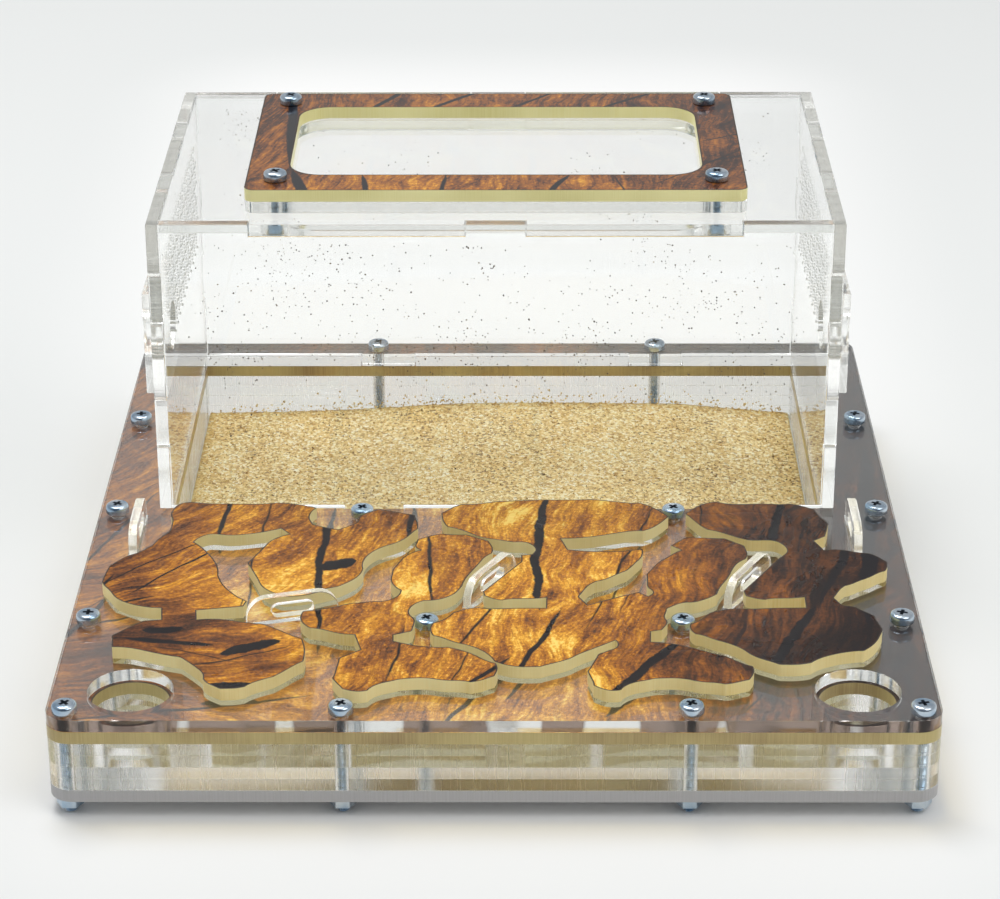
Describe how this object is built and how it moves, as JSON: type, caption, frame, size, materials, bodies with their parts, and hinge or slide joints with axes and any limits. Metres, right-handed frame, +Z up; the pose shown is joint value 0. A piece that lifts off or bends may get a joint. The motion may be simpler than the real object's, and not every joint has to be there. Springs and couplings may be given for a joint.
{
  "type": "ant habitat",
  "caption": "Ant nest of bolted acrylic sheets with wood-print chambers, slide gates and shade plates, under a clear sand arena with a lift-off lid",
  "frame": {"origin": "on the table under the middle of the nest stack, at the lowest point of the clamp screws' ends", "axes": "+Z up, +X to the right seen from the front, +Y towards the rear, where the arena stands; the nest is symmetric in outline about the YZ plane"},
  "size_m": [0.2, 0.215, 0.1099],
  "materials": {
    "clear_acrylic": "clear cast acrylic, laser cut, polished faces, bright cut edges",
    "frosted_acrylic": "frosted white translucent acrylic",
    "printed_acrylic": "translucent yellow acrylic with a printed wood grain on its upper face",
    "zinc_steel": "bright zinc plated steel",
    "sand": "fine mixed quartz sand"
  },
  "bodies": {
    "nest": {"base_sheet": "frosted_acrylic", "nest_sheet_1": "clear_acrylic", "nest_sheet_2": "clear_acrylic", "nest_sheet_3": "clear_acrylic", "nest_sheet_4": "clear_acrylic", "decor_sheet": "printed_acrylic", "cover_sheet": "clear_acrylic", "clamp_screws": "zinc_steel", "clamp_nuts": "zinc_steel", "arena_front_wall": "clear_acrylic", "arena_rear_wall": "clear_acrylic", "arena_left_wall": "clear_acrylic", "arena_right_wall": "clear_acrylic", "arena_roof": "clear_acrylic", "tube_plate_left": "clear_acrylic", "tube_plate_right": "clear_acrylic", "sand_bed": "sand"},
    "lid": {"lid_pane": "clear_acrylic", "lid_ring": "printed_acrylic", "lid_screws": "zinc_steel", "lid_nuts": "zinc_steel"},
    "gate_left_nest": {"gate_left_nest": "clear_acrylic"},
    "gate_middle_nest": {"gate_middle_nest": "clear_acrylic"},
    "gate_right_nest": {"gate_right_nest": "clear_acrylic"},
    "gate_left_exit": {"gate_left_exit": "clear_acrylic"},
    "gate_right_exit": {"gate_right_exit": "clear_acrylic"},
    "shade_left": {"shade_left": "printed_acrylic"},
    "shade_centre_left": {"shade_centre_left": "printed_acrylic"},
    "shade_centre": {"shade_centre": "printed_acrylic"},
    "shade_right": {"shade_right": "printed_acrylic"}
  },
  "joints": [
    {"name": "lid_lift", "type": "slide", "parent": "nest", "child": "lid", "axis": [0, 0, 1], "range_m": [0, 0.03]},
    {"name": "gate_left_nest_slide", "type": "slide", "parent": "nest", "child": "gate_left_nest", "axis": [0, 0, 1], "range_m": [0, 0.009]},
    {"name": "gate_middle_nest_slide", "type": "slide", "parent": "nest", "child": "gate_middle_nest", "axis": [0, 0, 1], "range_m": [0, 0.009]},
    {"name": "gate_right_nest_slide", "type": "slide", "parent": "nest", "child": "gate_right_nest", "axis": [0, 0, 1], "range_m": [0, 0.009]},
    {"name": "gate_left_exit_slide", "type": "slide", "parent": "nest", "child": "gate_left_exit", "axis": [0, 0, 1], "range_m": [0, 0.009]},
    {"name": "gate_right_exit_slide", "type": "slide", "parent": "nest", "child": "gate_right_exit", "axis": [0, 0, 1], "range_m": [0, 0.009]},
    {"name": "shade_left_lift", "type": "slide", "parent": "nest", "child": "shade_left", "axis": [0, 0, 1], "range_m": [0, 0.012]},
    {"name": "shade_centre_left_lift", "type": "slide", "parent": "nest", "child": "shade_centre_left", "axis": [0, 0, 1], "range_m": [0, 0.012]},
    {"name": "shade_centre_lift", "type": "slide", "parent": "nest", "child": "shade_centre", "axis": [0, 0, 1], "range_m": [0, 0.012]},
    {"name": "shade_right_lift", "type": "slide", "parent": "nest", "child": "shade_right", "axis": [0, 0, 1], "range_m": [0, 0.012]}
  ]
}
